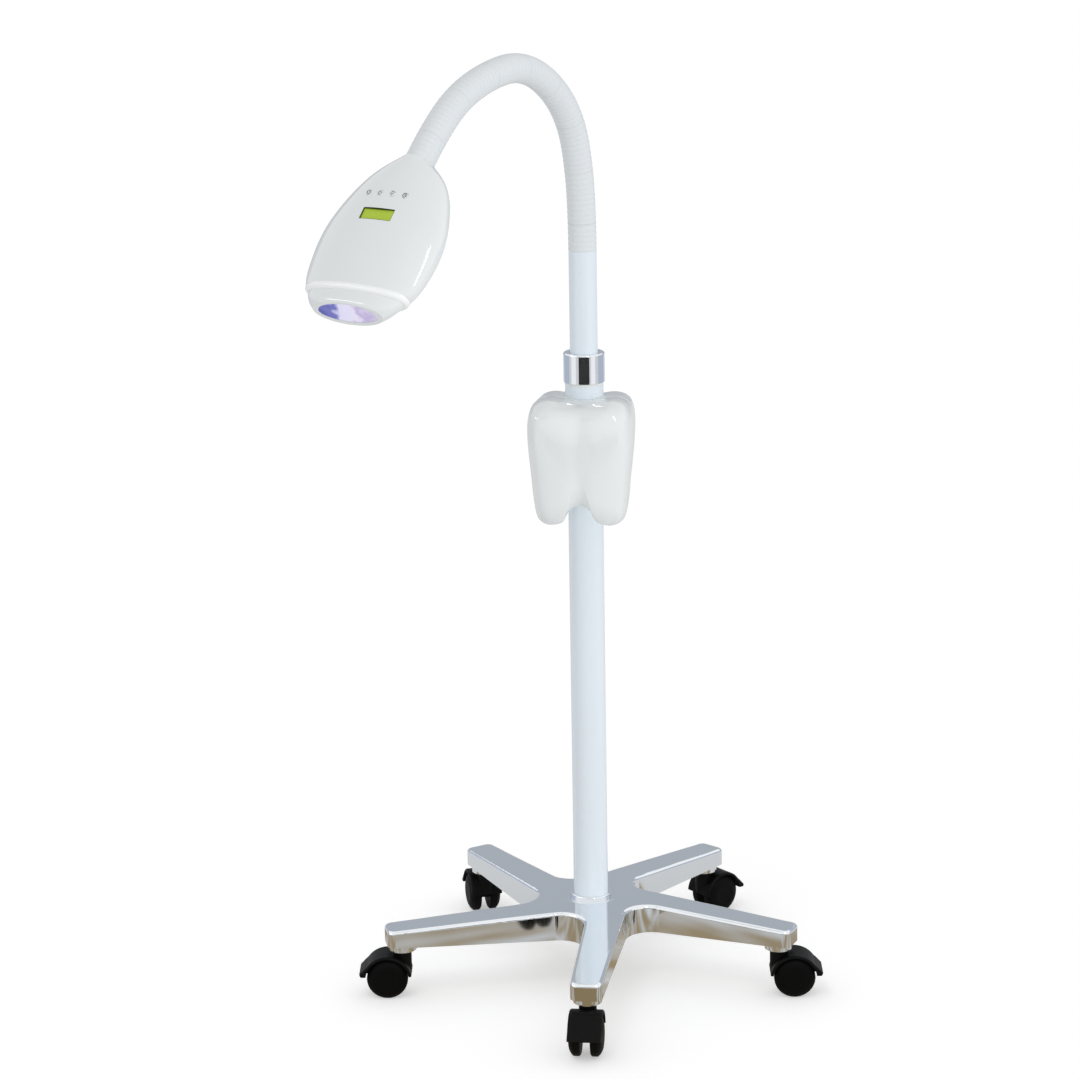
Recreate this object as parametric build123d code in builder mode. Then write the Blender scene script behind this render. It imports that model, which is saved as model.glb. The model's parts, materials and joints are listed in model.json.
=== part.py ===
from build123d import *
import os
from math import cos, pi, radians, sin, sqrt

# Teeth whitening lamp: an LED head on a gooseneck, on a column with a five-castor base.
# Z is up, the origin is on the floor under the column's axis, and the lamp's front faces -Y.
os.makedirs("parts", exist_ok=True)

# Castors
wheel_dia = 50.0
wheel_width = 14.0
castor_width = 40.0
castor_trail = 19.0
castor_clearance = 0.4
hood_gap = 1.6
hood_wall = 3.0
hood_tip_reach = 34.0
hood_neck_dia = 21.0
hood_neck_top = 56.8
hood_round = 2.5
axle_dia = 6.0
stem_dia = 11.0
stem_flange_dia = 20.0
stem_pin_dia = 8.0
running_clearance = 0.05
castor_angles = {"front": 270, "right": 6, "rear_right": 45, "rear_left": 110, "left": 186}

# Base casting
arm_count = 5
arm_length = 259.0
arm_root_width = 49.8
arm_tip_width = 37.3
arm_tip_round = 9.0
notch_round = 30.0
base_flat_z = 99.6
base_flat_radius = 26.0
base_tip_top_z = 87.0
base_tip_low_z = 67.0
base_root_low_z = 62.0
base_edge_round = 4.0
base_wall = 4.0
base_rib = 3.5
stem_reach = 239.0
boss_dia = 34.0
boss_low_z = 59.0
hub_dia = 64.0
hub_low_z = 60.0

# Column
column_dia = 42.0
column_wall = 1.6
column_low_z = 64.0
column_top_z = 743.0
column_plate = 8.0
sleeve_dia = 45.6
sleeve_low_z = 700.0
foot_ring_dia = 50.0
foot_ring_height = 4.6
collar_dia = 49.0
collar_height = 35.5
collar_low_z = 745.5
collar_wall = 1.5
bolt_dia = 10.0
bolt_head_flats = 17.0
bolt_head_height = 6.5
washer_dia = 54.0
washer_thick = 4.0

# Arm tube
arm_tube_dia = 33.0
arm_tube_wall = 1.6
arm_tube_low_z = 670.2
gooseneck_low_z = 904.0
thrust_plug_height = 8.0
thrust_plug_gap = 0.2
bush_low_z = 692.0
circlip_height = 2.0
circlip_overhang = 2.0

# Gooseneck: each link turns by its own angle towards the head
arm_heading = 27.9
link_turns = (4, 11, 28, 23, 29, 13, 20, 9)
link_length = 62.5
rib_count = 8
rib_dia = 33.6
groove_dia = 31.8
link_gap = 2.8
ball_dia = 23.0
ball_gap = 0.3
cable_bore = 9.0
spigot_dia = 31.0
spigot_length = 18.0

# Lamp head, measured along its own axis from the neck
head_wall = 2.5
head_lip = 172.0
head_sections = (
    (0, 18.5, 18.5, 18.5),
    (12, 34, 22, 20),
    (28, 50, 25, 24),
    (50, 63, 27, 30),
    (80, 74, 28, 35),
    (115, 78.5, 27, 37),
    (145, 76, 24, 34),
    (head_lip, 67, 20, 27),
)
nozzle_overlap = 14.0
nozzle_end = 195.5
nozzle_end_tilt = 18.0
nozzle_half_width = 46.5
nozzle_half_height = 15.0
nozzle_fit = 0.3
nozzle_root_flare = 4.0
nozzle_root_rise = 1.6
nozzle_root_drop = 3.0
nozzle_middle = 184.0
nozzle_middle_size = (58.5, 16.8, 21.0)
nozzle_end_wall = 4.0
window_half_width = 39.5
window_top = 12.5
window_bottom = 10.5
window_thick = 2.5
window_sink = 0.3
window_ledge = 2.0

# Light engine in the mouth
sink_start = 172.0
sink_base = 6.0
sink_width = 76.0
sink_height = 21.0
sink_y = -2.5
shelf_width = 24.0
shelf_height = 7.0
fin_count = 11
fin_pitch = 7.0
fin_thick = 2.0
fin_depth = 24.0
led_columns = 5
led_rows = 2
led_pitch_x = 14.0
led_pitch_y = 9.5
led_dia = 7.0
led_height = 3.5

# Display, buttons and their board under the top shell
display_s = 85.0
display_width = 42.0
display_height = 15.0
display_fit = 0.3
lens_thick = 1.5
lens_low_y = 23.6
module_margin = 5.0
module_height = 7.0
board_thick = 1.6
board_width = 76.0
board_start = 46.0
board_end = 104.0
board_post_dia = 7.0
button_s = 58.0
button_count = 4
button_pitch = 16.0
button_dia = 7.0
button_length = 6.0
button_fit = 0.3
button_proud = 1.0
button_travel = 0.8
button_crown = 27.4
button_half_width = 66.0
switch_size = 6.0

# Fan, vents, screws and neck clamp
fan_s = 96.0
fan_size = 40.0
fan_thick = 10.0
fan_low_y = -29.5
fan_bore_dia = 37.0
fan_hub_dia = 16.0
fan_spoke = 1.5
fan_pin_dia = 2.0
fan_blades = 7
fan_blade_width = 7.5
fan_blade_pitch = 38.0
vent_count = 7
vent_pitch = 5.0
vent_width = 2.4
vent_length = 24.0
post_dia = 6.0
screw_post_dia = 8.0
screw_seat = 12.0
screw_grip = 8.0
head_screw_dia = 3.0
head_screw_head = 6.0
head_screw_spots = ((36, 34), (36, -34), (140, 55), (140, -55))
clamp_s = 12.5
clamp_wall = 1.8
clamp_ear = 9.0

# Molar-shaped housing on the column
molar_middle_z = 660.0
molar_half_width = 62.5
molar_half = [
    (0, 730),
    (20, 732),
    (40, 734.5),
    (55, 728.5),
    (61.5, 712),
    (62, 686),
    (58.5, 645),
    (55, 612),
    (51, 591),
    (41, 581.5),
    (30, 582.5),
    (20, 591),
    (11, 602),
    (0, 606),
]
molar_parting = 24.0
molar_front = ((24, 0.975), (45, 1.0), (63, 0.985), (76, 0.93), (84, 0.83), (88.5, 0.68), (90.5, 0.45))
molar_rear = ((24, 0.975), (5, 0.965), (-15, 0.945), (-24, 0.9), (-27.5, 0.84))
housing_wall = 2.5
housing_screw_spots = ((-42, 616), (42, 616), (-42, 704), (42, 704))
housing_screw_sink = 8.0
passage_gap = 0.3
plate_thick = 3.0
plate_width = 94.0
clamp_low_z = 618.0
clamp_height = 22.0
clamp_width = 72.0
clamp_split = 0.5
clamp_bolt_x = 29.0
clamp_bolt_dia = 5.0
strap_thick = 3.0
supply_spots = ((-32, 627), (32, 627), (-32, 697), (32, 697))
supply_standoff = 11.0
supply_width = 74.0
supply_height = 82.0
panel_z = 664.0
inlet_x = 38.0
inlet_width = 20.0
inlet_height = 27.0
inlet_flange = 2.0
inlet_depth = 26.0
socket_depth = 20.0
socket_clear = 7.0
switch_x = -38.0
switch_width = 13.0
switch_tall = 19.0
switch_depth = 15.0
rocker_width = 9.6
rocker_tall = 15.0
rocker_gap = 1.0
rocker_half_angle = 8.0
rocker_pivot_out = 0.5
rocker_rise = 3.2
rocker_sink = 4.0
rocker_pin_dia = 2.4
rocker_pin_length = 0.9


def heading_vector(angle):
    """Horizontal unit vector at an angle from +X, towards +Y."""
    return Vector(cos(radians(angle)), sin(radians(angle)), 0)


def upright_plane(origin, along):
    """Plane whose x runs along a horizontal direction and whose y is up."""
    return Plane(origin=origin, x_dir=along, z_dir=along.cross(Vector(0, 0, 1)))


def finish(part, name):
    part.label = name
    export_step(part, f"parts/{name}.step")


# Base casting
arm_names = ("front", "right", "rear_right", "rear_left", "left")
stem_offset = (arm_root_width + (arm_tip_width - arm_root_width) * stem_reach / arm_length) / 2
top_slope = (base_tip_top_z - base_flat_z) / (arm_length - base_flat_radius)


def base_top(radius):
    return base_flat_z + top_slope * (radius - base_flat_radius)


def star_outline():
    """Five arms, each with its right-hand edge on a radius, seen from above."""
    with PolarLocations(0, arm_count, start_angle=-90):
        Polygon(
            (0, 0),
            (arm_length, 0),
            (arm_length, arm_tip_width),
            (0, arm_root_width),
            align=None,
        )


def base_profile(drop):
    """Half section through the casting, lowered by a wall thickness."""
    outside = arm_length + 20
    Polygon(
        (0, base_flat_z - drop),
        (base_flat_radius, base_flat_z - drop),
        (outside, base_top(outside) - drop),
        (outside, base_tip_low_z - 10 * drop),
        (hub_dia, base_root_low_z - 10 * drop),
        (0, base_root_low_z - 10 * drop),
        align=None,
    )


def nearest_radius(edge):
    return min(Vector(v.X, v.Y).length for v in edge.vertices())


with BuildSketch() as star_plan:
    star_outline()
    notches = [v for v in star_plan.vertices() if Vector(v.X, v.Y).length < arm_length / 2]
    fillet(notches, notch_round)
    tips = [v for v in star_plan.vertices() if Vector(v.X, v.Y).length > arm_length - 1]
    fillet(tips, arm_tip_round)

with BuildPart() as core:
    with BuildSketch(Plane.XY):
        add(star_plan.sketch)
        offset(amount=-base_wall, mode=Mode.REPLACE)
        Circle(hub_dia / 2, mode=Mode.SUBTRACT)
        with PolarLocations(0, arm_count, start_angle=-90):
            with Locations((stem_reach, stem_offset)):
                Circle(boss_dia / 2, mode=Mode.SUBTRACT)
            with Locations((stem_reach / 2, stem_offset)):
                Rectangle(stem_reach, base_rib, mode=Mode.SUBTRACT)
    extrude(amount=base_flat_z)
    with BuildSketch(Plane.XZ):
        base_profile(base_wall)
    revolve(axis=Axis.Z, mode=Mode.INTERSECT)

with BuildPart() as star_base:
    with BuildSketch(Plane.XY):
        add(star_plan.sketch)
    extrude(amount=base_flat_z + 1)
    with BuildSketch(Plane.XZ):
        base_profile(0)
    revolve(axis=Axis.Z, mode=Mode.INTERSECT)
    rim = [e for e in star_base.edges() if e.center().Z > base_tip_top_z - 2]
    fillet([e for e in rim if nearest_radius(e) > base_flat_radius + 5], base_edge_round)
    add(core.part, mode=Mode.SUBTRACT)
    with BuildSketch(Plane.XY.offset(hub_low_z)):
        Circle(hub_dia / 2)
    extrude(amount=base_flat_z - hub_low_z)
    with BuildSketch(Plane.XY.offset(boss_low_z)):
        with PolarLocations(0, arm_count, start_angle=-90):
            with Locations((stem_reach, stem_offset)):
                Circle(boss_dia / 2)
    extrude(amount=base_tip_low_z + base_wall - boss_low_z)
    with BuildSketch(Plane.XY.offset(boss_low_z)):
        with PolarLocations(0, arm_count, start_angle=-90):
            with Locations((stem_reach, stem_offset)):
                Circle(stem_dia / 2 + running_clearance)
    extrude(amount=base_top(stem_reach) - base_wall - boss_low_z, mode=Mode.SUBTRACT)
    with BuildSketch(Plane.XY.offset(column_low_z)):
        Circle(column_dia / 2 + running_clearance)
    extrude(amount=base_flat_z - column_low_z, mode=Mode.SUBTRACT)
    with BuildSketch(Plane.XY.offset(hub_low_z)):
        Circle(bolt_dia / 2 + running_clearance)
    extrude(amount=column_low_z - hub_low_z, mode=Mode.SUBTRACT)
finish(star_base.part, "star_base")


# Castors: the stem sits in its boss, the hood turns round it and trails to one side
def castor_frame(k):
    """Stem's place on the floor, and the direction in which the castor trails."""
    arm = heading_vector(360 / arm_count * k - 90)
    left = Vector(-arm.Y, arm.X, 0)
    return arm * stem_reach + left * stem_offset, heading_vector(castor_angles[arm_names[k]])


wheel_radius = wheel_dia / 2
wheel_outer_y = castor_width / 2
wheel_inner_y = wheel_outer_y - wheel_width
web_width = 2 * (wheel_inner_y - castor_clearance)
wheel_cap = 2.0
wheel_shoulder = 1.5
tread_width = 8.0
dome_radius = 10.0
stem_flange_low_z = hood_neck_top + 0.2
stem_socket_top_z = base_top(stem_reach) - base_wall
hood_radius = wheel_radius + hood_gap + hood_wall
hood_skirt_z = wheel_radius + 4.0

with BuildPart() as castor_stems:
    for k in range(arm_count):
        foot, trail = castor_frame(k)
        with BuildSketch(Plane(origin=foot + Vector(0, 0, stem_flange_low_z))):
            Circle(stem_flange_dia / 2)
        extrude(amount=boss_low_z - stem_flange_low_z)
        with BuildSketch(Plane(origin=foot + Vector(0, 0, boss_low_z))):
            Circle(stem_dia / 2)
        extrude(amount=stem_socket_top_z - boss_low_z - 1)
        with BuildSketch(Plane(origin=foot + Vector(0, 0, stem_flange_low_z))):
            Circle(stem_pin_dia / 2)
        extrude(amount=-(stem_flange_low_z - hood_skirt_z - 6))
finish(castor_stems.part, "castor_stems")


def make_hood(k):
    """Hood with its central web, its neck and the axle that both wheels turn on."""
    foot, trail = castor_frame(k)
    side = upright_plane(foot, trail)
    tip_x = castor_trail + hood_tip_reach
    neck_plane = Plane(origin=foot + Vector(0, 0, hood_neck_top))
    with BuildPart() as hood:
        with BuildSketch(side):
            with Locations((castor_trail, wheel_radius)):
                Circle(hood_radius)
            with Locations((castor_trail, hood_skirt_z - hood_radius)):
                Rectangle(4 * hood_radius, 2 * hood_radius, mode=Mode.SUBTRACT)
            Polygon(
                (castor_trail + hood_radius * 0.45, wheel_radius + hood_radius * 0.89),
                (castor_trail + hood_radius * 0.93, hood_skirt_z + 10),
                (tip_x, hood_skirt_z + 3),
                (tip_x - 2, hood_skirt_z),
                (castor_trail, hood_skirt_z),
                align=None,
            )
        extrude(amount=castor_width / 2, both=True)
        crown = [e for e in hood.edges() if abs((e.center() - foot).dot(side.z_dir)) > castor_width * 0.49]
        fillet([e for e in crown if e.center().Z > hood_skirt_z + 5], hood_round)
        with BuildSketch(neck_plane):
            Circle(hood_neck_dia / 2)
        extrude(amount=hood_skirt_z - hood_neck_top)
        with BuildSketch(side.offset(web_width / 2), side.offset(-web_width / 2 - castor_width)):
            with Locations((castor_trail, wheel_radius)):
                Circle(wheel_radius + hood_gap)
        extrude(amount=castor_width, mode=Mode.SUBTRACT)
        with BuildSketch(side):
            with Locations((castor_trail, wheel_radius)):
                Circle(axle_dia * 1.6)
            with Locations((castor_trail, wheel_radius + 5)):
                Rectangle(axle_dia * 3.2, 10)
        extrude(amount=web_width / 2, both=True)
        with BuildSketch(side.offset(-wheel_outer_y + wheel_cap + castor_clearance)):
            with Locations((castor_trail, wheel_radius)):
                Circle(axle_dia / 2)
        extrude(amount=castor_width - 2 * wheel_cap - 2 * castor_clearance)
        with BuildSketch(neck_plane):
            Circle(stem_pin_dia / 2 + running_clearance)
        extrude(amount=-(hood_neck_top - hood_skirt_z - 5), mode=Mode.SUBTRACT)
    return hood.part


def make_wheel(k, hand):
    """One wheel of a pair; hand is 1 or -1 for the side of the web it is on."""
    foot, trail = castor_frame(k)
    hub = foot + trail * castor_trail + Vector(0, 0, wheel_radius)
    across = trail.cross(Vector(0, 0, 1)) * hand
    section = Plane(origin=hub, x_dir=across, z_dir=across.cross(Vector(0, 0, 1)))
    with BuildPart() as wheel:
        with BuildSketch(section):
            with BuildLine():
                Polyline(
                    (wheel_outer_y, 0),
                    (wheel_outer_y - wheel_cap, 0),
                    (wheel_outer_y - wheel_cap, axle_dia / 2 + running_clearance),
                    (wheel_inner_y, axle_dia / 2 + running_clearance),
                    (wheel_inner_y, wheel_radius - wheel_shoulder),
                    (wheel_inner_y + wheel_shoulder, wheel_radius),
                    (wheel_inner_y + tread_width, wheel_radius),
                )
                ThreePointArc(
                    (wheel_inner_y + tread_width, wheel_radius),
                    (wheel_outer_y - 1.6, wheel_radius - 5),
                    (wheel_outer_y, dome_radius),
                )
                Line((wheel_outer_y, dome_radius), (wheel_outer_y, 0))
            make_face()
        revolve(axis=Axis(hub, across))
    return wheel.part


for k, arm_name in enumerate(arm_names):
    finish(make_hood(k), f"castor_{arm_name}_hood")
    finish(make_wheel(k, 1), f"castor_{arm_name}_wheel_a")
    finish(make_wheel(k, -1), f"castor_{arm_name}_wheel_b")


# Column
column_bore = column_dia - 2 * column_wall

with BuildPart() as column_tube:
    with BuildSketch(Plane.XY.offset(column_low_z)):
        Circle(column_dia / 2)
        Circle(column_bore / 2, mode=Mode.SUBTRACT)
    extrude(amount=column_top_z - column_low_z)
    with BuildSketch(Plane.XY.offset(column_low_z)):
        Circle(column_bore / 2)
        Circle(bolt_dia / 2 + running_clearance, mode=Mode.SUBTRACT)
    extrude(amount=column_plate)
finish(column_tube.part, "column_tube")

with BuildPart() as column_bolt:
    with BuildSketch(Plane.XY.offset(hub_low_z - washer_thick)):
        Circle(washer_dia / 2)
        Circle(bolt_dia / 2 + running_clearance, mode=Mode.SUBTRACT)
    extrude(amount=washer_thick)
    chamfer(column_bolt.edges().group_by(Axis.Z)[0].sort_by(SortBy.RADIUS)[-1], 1)
    with BuildSketch(Plane.XY.offset(hub_low_z - washer_thick)):
        RegularPolygon(bolt_head_flats / 2, 6, major_radius=False)
    extrude(amount=-bolt_head_height)
    with BuildSketch(Plane.XY.offset(hub_low_z - washer_thick)):
        Circle(bolt_dia / 2)
    extrude(amount=washer_thick + column_low_z + column_plate + 6 - hub_low_z)
finish(column_bolt.part, "column_bolt")

with BuildPart() as foot_ring:
    with BuildSketch(Plane.XY.offset(base_flat_z)):
        Circle(foot_ring_dia / 2)
        Circle(column_dia / 2 + running_clearance, mode=Mode.SUBTRACT)
    extrude(amount=foot_ring_height)
    fillet(foot_ring.edges().group_by(Axis.Z)[-1].sort_by(SortBy.RADIUS)[-1], 1.5)
finish(foot_ring.part, "foot_ring")

with BuildPart() as column_sleeve:
    with BuildSketch(Plane.XY.offset(sleeve_low_z)):
        Circle(sleeve_dia / 2)
        Circle(column_dia / 2 + running_clearance, mode=Mode.SUBTRACT)
    extrude(amount=column_top_z - sleeve_low_z)
finish(column_sleeve.part, "column_sleeve")

# Collar and the bearing of the arm tube
collar_top_z = collar_low_z + collar_height
collar_inner = collar_dia / 2 - collar_wall
collar_lip_bore = arm_tube_dia / 2 + 0.8
collar_lip = 2.0
arm_radius = arm_tube_dia / 2
bush_top_z = collar_top_z - collar_lip

with BuildPart() as collar_ring:
    with BuildSketch(Plane.XZ):
        Polygon(
            (collar_inner, collar_low_z),
            (collar_dia / 2, collar_low_z),
            (collar_dia / 2, collar_top_z),
            (collar_lip_bore, collar_top_z),
            (collar_lip_bore, bush_top_z),
            (collar_inner, bush_top_z),
            align=None,
        )
    revolve(axis=Axis.Z)
    fillet(collar_ring.edges().group_by(Axis.Z)[-1].sort_by(SortBy.RADIUS)[-1], 1.8)
    fillet(collar_ring.edges().group_by(Axis.Z)[0].sort_by(SortBy.RADIUS)[-1], 0.7)
finish(collar_ring.part, "collar_ring")

with BuildPart() as collar_bush:
    with BuildSketch(Plane.XZ):
        Polygon(
            (arm_radius + running_clearance, bush_low_z),
            (column_bore / 2 - running_clearance, bush_low_z),
            (column_bore / 2 - running_clearance, column_top_z),
            (collar_inner - running_clearance, column_top_z),
            (collar_inner - running_clearance, bush_top_z),
            (arm_radius + running_clearance, bush_top_z),
            align=None,
        )
    revolve(axis=Axis.Z)
finish(collar_bush.part, "collar_bush")

with BuildPart() as thrust_plug:
    with BuildSketch(Plane.XY.offset(arm_tube_low_z - thrust_plug_gap)):
        Circle(column_bore / 2 - running_clearance)
        Circle(cable_bore, mode=Mode.SUBTRACT)
    extrude(amount=-thrust_plug_height)
finish(thrust_plug.part, "thrust_plug")

with BuildPart() as arm_circlip:
    with BuildSketch(Plane.XY.offset(bush_low_z - circlip_height - thrust_plug_gap)):
        Circle(arm_radius + circlip_overhang)
        Circle(arm_radius - arm_tube_wall / 2, mode=Mode.SUBTRACT)
        with Locations((arm_radius, 0)):
            Rectangle(arm_tube_wall * 8, 6, mode=Mode.SUBTRACT)
    extrude(amount=circlip_height)
finish(arm_circlip.part, "arm_circlip")

# Gooseneck
lateral = Vector(cos(radians(arm_heading)), -sin(radians(arm_heading)), 0)
reach = Vector(-sin(radians(arm_heading)), -cos(radians(arm_heading)), 0)
up = Vector(0, 0, 1)


def arch_direction(angle):
    """Direction in the arch's plane, at an angle from straight up towards the head."""
    return reach * sin(radians(angle)) + up * cos(radians(angle))


def arc_station(start, angle, length, turn, s):
    """Point and angle at s along an arc that starts at an angle and turns evenly."""
    part_turn = turn * s / length
    if abs(turn) < 1e-6:
        return start + arch_direction(angle) * s, angle
    chord = 2 * length / radians(turn) * sin(radians(part_turn / 2))
    return start + arch_direction(angle + part_turn / 2) * chord, angle + part_turn


def arch_plane(point, angle):
    return Plane(origin=point, x_dir=lateral, z_dir=arch_direction(angle))


pivots = [(Vector(0, 0, gooseneck_low_z), 0.0)]
for turn in link_turns:
    point, angle = pivots[-1]
    pivots.append(arc_station(point, angle, link_length, turn, link_length))
neck_point, neck_angle = pivots[-1]

rib_pitch = (link_length - link_gap) / rib_count
rib_crest = 0.5
rib_slope = 0.14

with BuildPart() as arm_tube:
    with BuildSketch(Plane.XY.offset(arm_tube_low_z)):
        Circle(arm_radius)
        Circle(arm_radius - arm_tube_wall, mode=Mode.SUBTRACT)
    extrude(amount=gooseneck_low_z - link_gap / 2 - arm_tube_low_z)
    with BuildSketch(Plane.XY.offset(gooseneck_low_z - link_gap / 2)):
        Circle(arm_radius - arm_tube_wall)
    extrude(amount=-(ball_dia / 2 + 6))
    with Locations((0, 0, gooseneck_low_z)):
        Sphere(ball_dia / 2 + ball_gap, mode=Mode.SUBTRACT)
    with BuildSketch(Plane.XY.offset(gooseneck_low_z)):
        Circle(cable_bore / 2)
    extrude(amount=-(ball_dia + 12), mode=Mode.SUBTRACT)
    with BuildSketch(Plane.XY.offset(bush_low_z - circlip_height - thrust_plug_gap)):
        Circle(arm_radius + 1)
        Circle(arm_radius - arm_tube_wall / 2, mode=Mode.SUBTRACT)
    extrude(amount=circlip_height, mode=Mode.SUBTRACT)
finish(arm_tube.part, "arm_tube")


def make_link(i):
    """Ribbed link with a ball below and, except on the last one, a cup above."""
    start, angle = pivots[i]
    turn = link_turns[i]
    last = i == len(link_turns) - 1
    end_gap = 0 if last else link_gap / 2

    def station(s):
        return arch_plane(*arc_station(start, angle, link_length, turn, s))

    rib_length = (link_length - link_gap / 2 - end_gap) / rib_count
    with BuildPart() as link:
        for n in range(rib_count):
            s = link_gap / 2 + n * rib_length
            for share, dia in (
                (0, groove_dia),
                (rib_slope, rib_dia),
                (rib_slope + rib_crest, rib_dia),
                (1 - rib_slope, groove_dia),
            ):
                with BuildSketch(station(s + share * rib_length)):
                    Circle(dia / 2)
        with BuildSketch(station(link_length - end_gap)):
            Circle(groove_dia / 2)
        loft(ruled=True)
        with BuildSketch(station(link_gap / 2)):
            Circle(ball_dia / 2 - 0.8)
        extrude(amount=-link_gap / 2)
        with Locations(arch_plane(start, angle)):
            Sphere(ball_dia / 2)
        if last:
            with BuildSketch(station(link_length)):
                Circle(spigot_dia / 2)
            extrude(amount=spigot_length)
        else:
            with Locations(arch_plane(*pivots[i + 1])):
                Sphere(ball_dia / 2 + ball_gap, mode=Mode.SUBTRACT)
        bore_low = arch_plane(*pivots[i]).offset(-ball_dia / 2 - 1)
        bore_stations = [bore_low] + [station(link_length * n / 4) for n in range(5)]
        if last:
            bore_stations.append(station(link_length).offset(spigot_length + 1))
        for plane in bore_stations:
            with BuildSketch(plane):
                Circle(cable_bore / 2)
        loft(ruled=True, mode=Mode.SUBTRACT)
    return link.part


for i in range(len(link_turns)):
    finish(make_link(i), f"gooseneck_link_{i + 1}")


# Lamp head, built along its own axis from the neck
def head_plane(s):
    return arch_plane(neck_point + arch_direction(neck_angle) * s, neck_angle)


def egg_section(half_width, top, bottom):
    """Upper and lower half ellipses of different heights on one width."""
    with BuildLine() as outline:
        EllipticalCenterArc((0, 0), half_width, top, start_angle=0, arc_size=180)
        EllipticalCenterArc((0, 0), half_width, bottom, start_angle=180, arc_size=180)
    make_face(outline.edges())


def head_body(inset):
    """The head's outer form, or its hollow when inset by the wall."""
    with BuildPart() as body:
        for s, half_width, top, bottom in head_sections:
            with BuildSketch(head_plane(s)):
                egg_section(half_width - inset, top - inset, bottom - inset)
        loft()
    return body.part


def upper_half(low, high):
    """Everything on the panel side of the parting plane, between two heights."""
    with BuildPart() as half:
        with BuildSketch(head_plane(-20)):
            with Locations((0, (low + high) / 2)):
                Rectangle(240, high - low)
        extrude(amount=head_lip + 60)
    return half.part


head_outer = head_body(0)
head_inner = head_body(head_wall)


def head_spot(s, x, y):
    """Plane square to the panel at a height y, whose z points out of the top shell."""
    base = head_plane(s)
    return Plane(
        origin=base.origin + lateral * x + base.y_dir * y, x_dir=lateral, z_dir=base.y_dir
    )


button_places = [(n - (button_count - 1) / 2) * button_pitch for n in range(button_count)]
board_top_y = lens_low_y - module_height
board_low_y = board_top_y - board_thick
board_middle = (board_start + board_end) / 2
board_posts = [
    (s, x)
    for s in (board_start + board_post_dia / 2, board_end - board_post_dia / 2)
    for x in (board_width / 2 - board_post_dia / 2, board_post_dia / 2 - board_width / 2)
]
fan_posts = [
    (fan_s + a * (fan_size - post_dia) / 2, b * (fan_size - post_dia) / 2)
    for a in (-1, 1)
    for b in (-1, 1)
]

with BuildPart() as upper_form:
    add(head_outer)
    add(upper_half(0, 80), mode=Mode.INTERSECT)

with BuildPart() as lower_form:
    add(head_outer)
    add(upper_half(-80, 0), mode=Mode.INTERSECT)


def button_height(x):
    """Height of the top shell's surface over a button."""
    return button_crown * sqrt(1 - (x / button_half_width) ** 2)


with BuildPart() as head_top_shell:
    add(head_outer)
    add(head_inner, mode=Mode.SUBTRACT)
    for s, x in board_posts:
        with BuildSketch(head_spot(s, x, board_top_y)):
            Circle(board_post_dia / 2)
        extrude(amount=board_top_y)
    for s, x in head_screw_spots:
        with BuildSketch(head_spot(s, x, 0)):
            Circle(screw_post_dia / 2)
        extrude(amount=2 * board_top_y)
    add(upper_form.part, mode=Mode.INTERSECT)
    with BuildSketch(head_spot(display_s, 0, board_top_y)):
        RectangleRounded(display_width, display_height, 1)
    extrude(amount=2 * board_top_y, mode=Mode.SUBTRACT)
    for x in button_places:
        with BuildSketch(head_spot(button_s, x, board_top_y)):
            Circle(button_dia / 2 + button_fit)
        extrude(amount=2 * board_top_y, mode=Mode.SUBTRACT)
    for s, x in head_screw_spots:
        with BuildSketch(head_spot(s, x, 0)):
            Circle(head_screw_dia / 2 + running_clearance)
        extrude(amount=screw_grip + 1, mode=Mode.SUBTRACT)
finish(head_top_shell.part, "head_top_shell")

with BuildPart() as head_bottom_shell:
    add(head_outer)
    add(head_inner, mode=Mode.SUBTRACT)
    for s, x in fan_posts:
        with BuildSketch(head_spot(s, x, fan_low_y)):
            Circle(post_dia / 2)
        extrude(amount=fan_low_y)
    for s, x in head_screw_spots:
        with BuildSketch(head_spot(s, x, 0)):
            Circle(screw_post_dia / 2)
        extrude(amount=2 * fan_low_y)
    add(lower_form.part, mode=Mode.INTERSECT)
    for s, x in head_screw_spots:
        with BuildSketch(head_spot(s, x, 0)):
            Circle(head_screw_dia / 2 + running_clearance)
        extrude(amount=2 * fan_low_y, mode=Mode.SUBTRACT)
        with BuildSketch(head_spot(s, x, -screw_seat)):
            Circle(head_screw_head / 2 + display_fit)
        extrude(amount=2 * fan_low_y, mode=Mode.SUBTRACT)
    for n in range(vent_count):
        x = (n - (vent_count - 1) / 2) * vent_pitch
        with BuildSketch(head_spot(fan_s, x, fan_low_y)):
            SlotOverall(vent_length, vent_width, rotation=90)
        extrude(amount=fan_low_y, mode=Mode.SUBTRACT)
finish(head_bottom_shell.part, "head_bottom_shell")

with BuildPart() as head_screws:
    for s, x in head_screw_spots:
        with BuildSketch(head_spot(s, x, -screw_seat)):
            Circle(head_screw_head / 2)
        extrude(amount=-head_screw_dia * 0.8)
        with BuildSketch(head_spot(s, x, -screw_seat)):
            Circle(head_screw_dia / 2)
        extrude(amount=screw_seat + screw_grip)
finish(head_screws.part, "head_screws")

# Mouth of the head: a stepped nozzle with a tilted end, and its window
head_axis = arch_direction(neck_angle)
panel_axis = head_plane(0).y_dir
tilt = radians(nozzle_end_tilt)
end_plane = Plane(
    origin=neck_point + head_axis * nozzle_end,
    x_dir=lateral,
    z_dir=head_axis * cos(tilt) + panel_axis * sin(tilt),
)
lip_half_width, lip_top, lip_bottom = head_sections[-1][1:]
lip_inset = head_wall + nozzle_fit


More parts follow.
